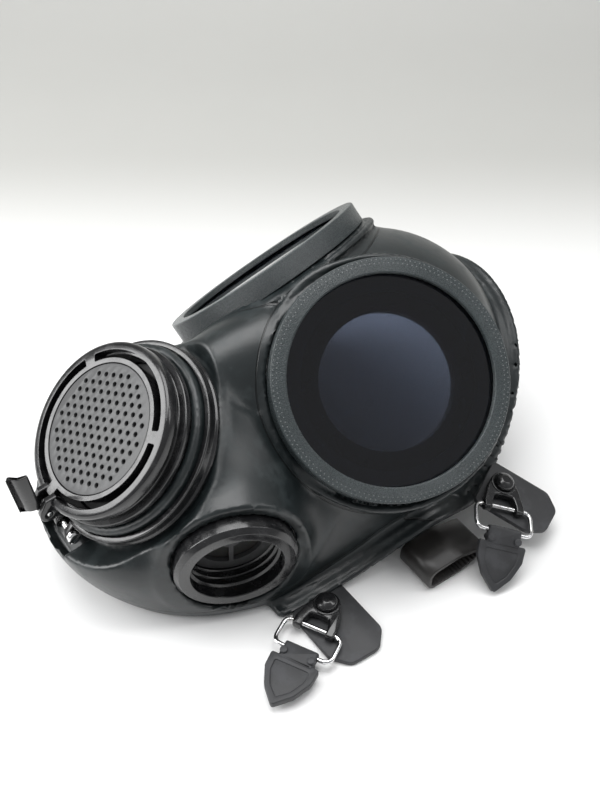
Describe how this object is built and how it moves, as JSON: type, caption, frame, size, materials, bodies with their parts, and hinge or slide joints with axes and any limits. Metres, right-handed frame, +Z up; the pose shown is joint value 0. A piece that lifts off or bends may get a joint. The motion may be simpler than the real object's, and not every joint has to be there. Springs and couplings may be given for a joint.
{
  "type": "full face respirator",
  "caption": "Full face respirator with round eyepieces under large dark lens covers, a front speech and exhale unit, one threaded filter port and strap buckles.",
  "frame": {"origin": "centre of the bounding box's bottom: the surface that the mask lies on", "axes": "+X from the chin to the forehead, +Y to the wearer's right, +Z up, out of the front of the face"},
  "size_m": [0.2438, 0.231, 0.1209],
  "materials": {
    "facepiece_rubber": "moulded black rubber, satin",
    "inner_rubber": "thin black rubber, matte",
    "strap_rubber": "smooth band rubber, ribbed inside",
    "tab_rubber": "matte moulded rubber",
    "printed_plastic": "layered dark plastic with fine sparkle",
    "dark_lens": "very dark tinted, mirror-smooth",
    "clear_lens": "clear polycarbonate",
    "chrome_wire": "polished",
    "satin_plastic": "satin grey-black",
    "gloss_plastic": "glossy black",
    "silicone": "translucent silicone rubber"
  },
  "bodies": {
    "mask": {"facepiece": "facepiece_rubber", "speech_housing": "gloss_plastic", "speech_grille": "satin_plastic", "speech_diaphragm": "silicone", "diaphragm_ring": "gloss_plastic", "exhale_seat": "satin_plastic", "clamp_band": "gloss_plastic", "clamp_nut": "chrome_wire", "lever_pin": "chrome_wire", "drinking_tube": "inner_rubber", "nose_cup": "inner_rubber", "port_connector": "gloss_plastic", "port_nut": "satin_plastic", "inlet_seat": "satin_plastic", "left_cover_ring": "printed_plastic", "left_cover_lens": "dark_lens", "left_cover_base": "printed_plastic", "left_eye_rim": "gloss_plastic", "left_eye_lens": "clear_lens", "left_eye_lock_ring": "satin_plastic", "right_cover_ring": "printed_plastic", "right_cover_lens": "dark_lens", "right_cover_base": "printed_plastic", "right_eye_rim": "gloss_plastic", "right_eye_lens": "clear_lens", "right_eye_lock_ring": "satin_plastic", "tab_lower_left": "tab_rubber", "stud_lower_left": "gloss_plastic", "tab_lower_right": "tab_rubber", "stud_lower_right": "gloss_plastic", "tab_upper_left": "tab_rubber", "stud_upper_left": "gloss_plastic", "tab_upper_right": "tab_rubber", "stud_upper_right": "gloss_plastic", "strap_loop_left": "strap_rubber", "strap_loop_right": "strap_rubber"},
    "exhale_valve": {"exhale_disc": "silicone"},
    "inlet_valve": {"inlet_disc": "silicone"},
    "clamp_screw": {"clamp_screw": "chrome_wire"},
    "drinking_lever": {"drinking_lever": "gloss_plastic"},
    "link_lower_left": {"link_lower_left": "gloss_plastic"},
    "ring_lower_left": {"ring_lower_left": "chrome_wire"},
    "pull_tab_lower_left": {"pull_tab_lower_left": "tab_rubber"},
    "link_upper_left": {"link_upper_left": "gloss_plastic"},
    "ring_upper_left": {"ring_upper_left": "chrome_wire"},
    "pull_tab_upper_left": {"pull_tab_upper_left": "tab_rubber"},
    "link_lower_right": {"link_lower_right": "gloss_plastic"},
    "ring_lower_right": {"ring_lower_right": "chrome_wire"},
    "pull_tab_lower_right": {"pull_tab_lower_right": "tab_rubber"},
    "link_upper_right": {"link_upper_right": "gloss_plastic"},
    "ring_upper_right": {"ring_upper_right": "chrome_wire"},
    "pull_tab_upper_right": {"pull_tab_upper_right": "tab_rubber"}
  },
  "joints": [
    {"name": "exhale_valve_lift", "type": "slide", "parent": "mask", "child": "exhale_valve", "axis": [-0.6628, 0, 0.7488], "range_m": [0, 0.0012], "stiffness_N_per_m": 120},
    {"name": "inlet_valve_lift", "type": "slide", "parent": "mask", "child": "inlet_valve", "axis": [0.3492, 0.9346, 0.068], "range_m": [0, 0.0012], "stiffness_N_per_m": 120},
    {"name": "clamp_screw_turn", "type": "hinge", "parent": "mask", "child": "clamp_screw", "pos_m": [-0.10426, 0, 0.03371], "axis": [0, -1, 0], "continuous": true},
    {"name": "drinking_lever_turn", "type": "hinge", "parent": "mask", "child": "drinking_lever", "pos_m": [-0.11104, 0, 0.05054], "axis": [0, 1, 0], "range_deg": [-60, 8]},
    {"name": "link_swivel_lower_left", "type": "hinge", "parent": "mask", "child": "link_lower_left", "pos_m": [-0.02589, -0.08, 0.0026], "axis": [0, 0, 1], "range_deg": [-12, 12]},
    {"name": "ring_tilt_lower_left", "type": "hinge", "parent": "link_lower_left", "child": "ring_lower_left", "pos_m": [-0.03639, -0.08582, 0.005], "axis": [0.4848, -0.8746, 0], "range_deg": [-70, 0]},
    {"name": "pull_tab_tilt_lower_left", "type": "hinge", "parent": "ring_lower_left", "child": "pull_tab_lower_left", "pos_m": [-0.04776, -0.09212, 0.005], "axis": [0.4848, -0.8746, 0], "range_deg": [-60, 0]},
    {"name": "link_swivel_upper_left", "type": "hinge", "parent": "mask", "child": "link_upper_left", "pos_m": [0.07131, -0.081, 0.019], "axis": [0.1373, -0.2581, 0.9563], "range_deg": [-8, 18]},
    {"name": "ring_tilt_upper_left", "type": "hinge", "parent": "link_upper_left", "child": "ring_upper_left", "pos_m": [0.06399, -0.09076, 0.01992], "axis": [0.7583, -0.5938, -0.2691], "range_deg": [-70, 0]},
    {"name": "pull_tab_tilt_upper_left", "type": "hinge", "parent": "ring_upper_left", "child": "pull_tab_upper_left", "pos_m": [0.05571, -0.10067, 0.01844], "axis": [0.7583, -0.5938, -0.2691], "range_deg": [-60, 0]},
    {"name": "link_swivel_lower_right", "type": "hinge", "parent": "mask", "child": "link_lower_right", "pos_m": [-0.02589, 0.08, 0.0026], "axis": [0, 0, 1], "range_deg": [-12, 12]},
    {"name": "ring_tilt_lower_right", "type": "hinge", "parent": "link_lower_right", "child": "ring_lower_right", "pos_m": [-0.03639, 0.08582, 0.005], "axis": [-0.4848, -0.8746, 0], "range_deg": [-70, 0]},
    {"name": "pull_tab_tilt_lower_right", "type": "hinge", "parent": "ring_lower_right", "child": "pull_tab_lower_right", "pos_m": [-0.04776, 0.09212, 0.005], "axis": [-0.4848, -0.8746, 0], "range_deg": [-60, 0]},
    {"name": "link_swivel_upper_right", "type": "hinge", "parent": "mask", "child": "link_upper_right", "pos_m": [0.07131, 0.081, 0.019], "axis": [0.1373, 0.2581, 0.9563], "range_deg": [-18, 8]},
    {"name": "ring_tilt_upper_right", "type": "hinge", "parent": "link_upper_right", "child": "ring_upper_right", "pos_m": [0.06399, 0.09076, 0.01992], "axis": [-0.7583, -0.5938, 0.2691], "range_deg": [-70, 0]},
    {"name": "pull_tab_tilt_upper_right", "type": "hinge", "parent": "ring_upper_right", "child": "pull_tab_upper_right", "pos_m": [0.05571, 0.10067, 0.01844], "axis": [-0.7583, -0.5938, 0.2691], "range_deg": [-60, 0]}
  ]
}
